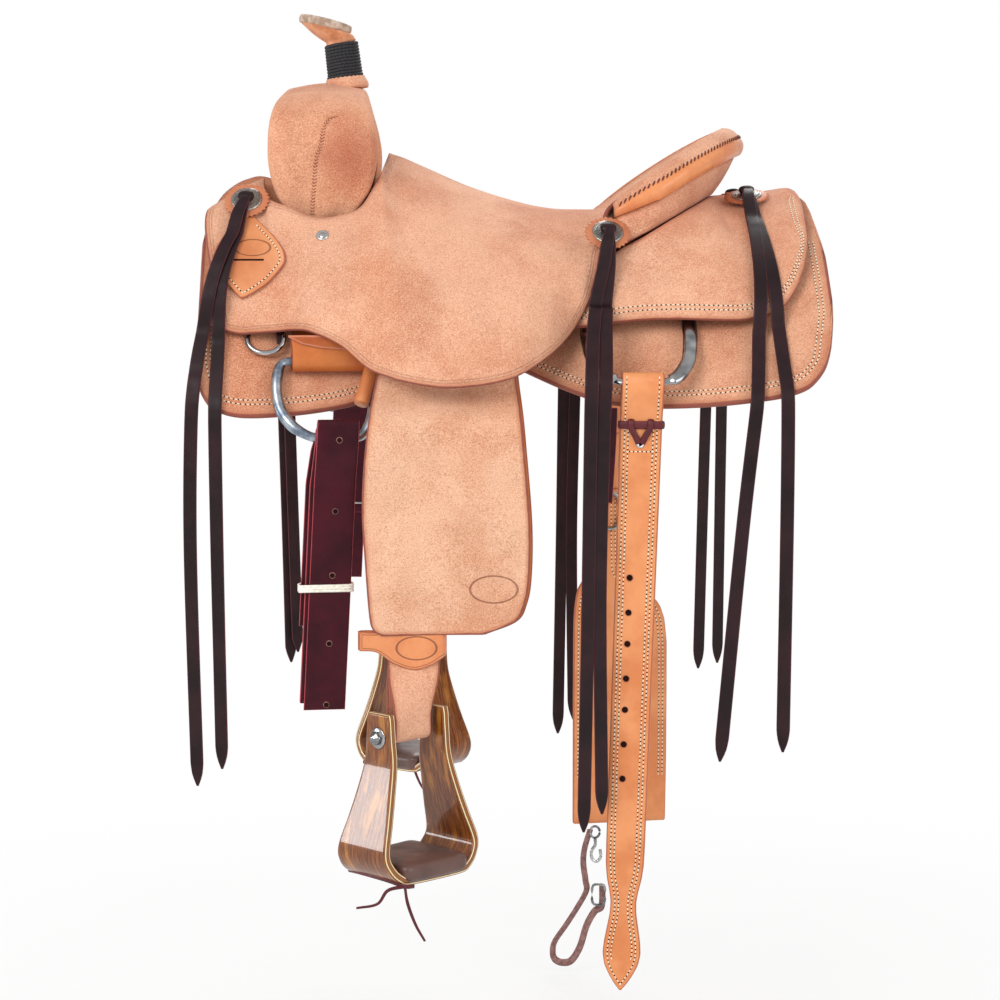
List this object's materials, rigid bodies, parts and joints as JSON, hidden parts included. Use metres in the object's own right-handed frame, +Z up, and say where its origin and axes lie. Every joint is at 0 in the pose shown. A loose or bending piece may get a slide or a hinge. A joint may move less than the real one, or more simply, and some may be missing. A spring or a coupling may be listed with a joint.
{
  "type": "western stock saddle",
  "caption": "Ranch roping saddle with wrapped horn, rough-side-out leather, fleece-lined skirts, wooden stirrups, saddle strings, latigo, billets and a folded flank cinch.",
  "frame": {"origin": "the spine of the horse's back under the middle of the saddle, where the saddle rests when it is cinched on", "axes": "-X towards the horse's head, +X towards its tail, -Y the near (left) side, +Z up"},
  "size_m": [0.7069, 0.7386, 1.2014],
  "materials": {
    "roughout": "flesh side out, matt nap",
    "russet": "smooth grain, oiled, low gloss",
    "latigo_leather": "dark burgundy, waxed",
    "lace_leather": "dark chocolate, glossy",
    "fleece": "curly wool pile",
    "tree_wood": "bare softwood",
    "stirrup_wood": "varnished, glossy",
    "tread_leather": "dark, half matt",
    "wrap_rubber": "matt black",
    "silver": "polished",
    "galvanised": "galvanised, half matt"
  },
  "bodies": {
    "saddle": {"cantle_back": "roughout", "cantle_roll": "russet", "concho_front_near": "silver", "concho_front_off": "silver", "concho_mid_near": "silver", "concho_mid_off": "silver", "concho_rear_near": "silver", "concho_rear_off": "silver", "fleece_near": "fleece", "fleece_off": "fleece", "fork_cover": "roughout", "ground_seat": "russet", "horn_cap": "russet", "horn_wrap": "wrap_rubber", "latigo_keeper_near": "russet", "latigo_keeper_off": "russet", "rear_dee_near": "silver", "rear_dee_off": "silver", "rear_jockey_near": "roughout", "rear_jockey_off": "roughout", "rigging_leather_near": "russet", "rigging_leather_off": "russet", "seat_leather": "roughout", "skirt_near": "roughout", "skirt_off": "roughout", "stirrup_leather_near": "russet", "stirrup_leather_off": "russet", "tree_bar_near": "tree_wood", "tree_bar_off": "tree_wood", "tree_cantle": "tree_wood", "tree_fork": "tree_wood", "tree_horn": "galvanised"},
    "fender_leg_near": {"fender_near": "roughout", "stirrup_leg_near": "roughout", "hobble_strap_near": "russet"},
    "stirrup_set_near": {"stirrup_near": "stirrup_wood", "tread_near": "tread_leather", "stirrup_bolt_near": "silver"},
    "front_ring_near": {"front_dee_near": "galvanised"},
    "breast_ring_near": {"breast_dee_near": "silver"},
    "front_laces_near": {"strings_front_near": "lace_leather"},
    "mid_laces_near": {"strings_mid_near": "lace_leather"},
    "rear_laces_near": {"strings_rear_near": "lace_leather"},
    "fender_leg_off": {"fender_off": "roughout", "stirrup_leg_off": "roughout", "hobble_strap_off": "russet"},
    "stirrup_set_off": {"stirrup_off": "stirrup_wood", "tread_off": "tread_leather", "stirrup_bolt_off": "silver"},
    "front_ring_off": {"front_dee_off": "galvanised"},
    "breast_ring_off": {"breast_dee_off": "silver"},
    "front_laces_off": {"strings_front_off": "lace_leather"},
    "mid_laces_off": {"strings_mid_off": "lace_leather"},
    "rear_laces_off": {"strings_rear_off": "lace_leather"},
    "latigo": {"latigo_near": "latigo_leather"},
    "off_side_billet": {"off_billet": "latigo_leather"},
    "flank_strap_near": {"flank_billet_near": "russet"},
    "flank_strap_off": {"flank_billet_off": "russet", "flank_cinch": "russet"},
    "connector": {"connector_strap": "lace_leather"}
  },
  "joints": [
    {"name": "fender_swing_near", "type": "hinge", "parent": "saddle", "child": "fender_leg_near", "pos_m": [-0.091, -0.25, -0.105], "axis": [0, 1, 0], "range_deg": [-10, 8]},
    {"name": "stirrup_turn_near", "type": "hinge", "parent": "fender_leg_near", "child": "stirrup_set_near", "pos_m": [-0.106, -0.295, -0.512], "axis": [0.7314, 0.682, 0], "range_deg": [-20, 20]},
    {"name": "front_dee_near", "type": "hinge", "parent": "saddle", "child": "front_ring_near", "pos_m": [-0.1928, -0.2164, -0.118], "axis": [1, 0, 0], "range_deg": [-10, 0]},
    {"name": "latigo_swing", "type": "hinge", "parent": "front_ring_near", "child": "latigo", "pos_m": [-0.1928, -0.2606, -0.1964], "axis": [1, 0, 0], "range_deg": [-8, 12]},
    {"name": "breast_dee_near", "type": "hinge", "parent": "saddle", "child": "breast_ring_near", "pos_m": [-0.262, -0.1974, -0.084], "axis": [1, 0, 0], "range_deg": [-12, 0]},
    {"name": "flank_billet_near", "type": "hinge", "parent": "saddle", "child": "flank_strap_near", "pos_m": [0.146, -0.268, -0.137], "axis": [1, 0, 0], "range_deg": [-8, 7]},
    {"name": "front_laces_swing_near", "type": "hinge", "parent": "saddle", "child": "front_laces_near", "pos_m": [-0.2849, -0.1445, 0.0615], "axis": [-1, 0, 0], "range_deg": [0, 12]},
    {"name": "mid_laces_swing_near", "type": "hinge", "parent": "saddle", "child": "mid_laces_near", "pos_m": [0.1139, -0.1843, 0.0257], "axis": [-1, 0, 0], "range_deg": [0, 12]},
    {"name": "rear_laces_swing_near", "type": "hinge", "parent": "saddle", "child": "rear_laces_near", "pos_m": [0.28, -0.067, 0.0693], "axis": [-1, 0, 0], "range_deg": [0, 12]},
    {"name": "fender_swing_off", "type": "hinge", "parent": "saddle", "child": "fender_leg_off", "pos_m": [-0.091, 0.25, -0.105], "axis": [0, 1, 0], "range_deg": [-10, 8]},
    {"name": "stirrup_turn_off", "type": "hinge", "parent": "fender_leg_off", "child": "stirrup_set_off", "pos_m": [-0.106, 0.295, -0.512], "axis": [0.7314, -0.682, 0], "range_deg": [-20, 20]},
    {"name": "front_dee_off", "type": "hinge", "parent": "saddle", "child": "front_ring_off", "pos_m": [-0.1928, 0.2164, -0.118], "axis": [-1, 0, 0], "range_deg": [-10, 0]},
    {"name": "off_billet_swing", "type": "hinge", "parent": "front_ring_off", "child": "off_side_billet", "pos_m": [-0.1928, 0.2606, -0.1964], "axis": [-1, 0, 0], "range_deg": [-8, 12]},
    {"name": "breast_dee_off", "type": "hinge", "parent": "saddle", "child": "breast_ring_off", "pos_m": [-0.262, 0.1974, -0.084], "axis": [-1, 0, 0], "range_deg": [-6, 0]},
    {"name": "flank_billet_off", "type": "hinge", "parent": "saddle", "child": "flank_strap_off", "pos_m": [0.146, 0.268, -0.137], "axis": [-1, 0, 0], "range_deg": [0, 7]},
    {"name": "front_laces_swing_off", "type": "hinge", "parent": "saddle", "child": "front_laces_off", "pos_m": [-0.2849, 0.1445, 0.0615], "axis": [1, 0, 0], "range_deg": [0, 12]},
    {"name": "mid_laces_swing_off", "type": "hinge", "parent": "saddle", "child": "mid_laces_off", "pos_m": [0.1139, 0.1843, 0.0257], "axis": [1, 0, 0], "range_deg": [0, 12]},
    {"name": "rear_laces_swing_off", "type": "hinge", "parent": "saddle", "child": "rear_laces_off", "pos_m": [0.28, 0.067, 0.0693], "axis": [1, 0, 0], "range_deg": [0, 12]},
    {"name": "connector_swing", "type": "hinge", "parent": "flank_strap_off", "child": "connector", "pos_m": [0.124, 0.2557, -0.744], "axis": [-1, 0, 0], "range_deg": [-20, 20]}
  ]
}
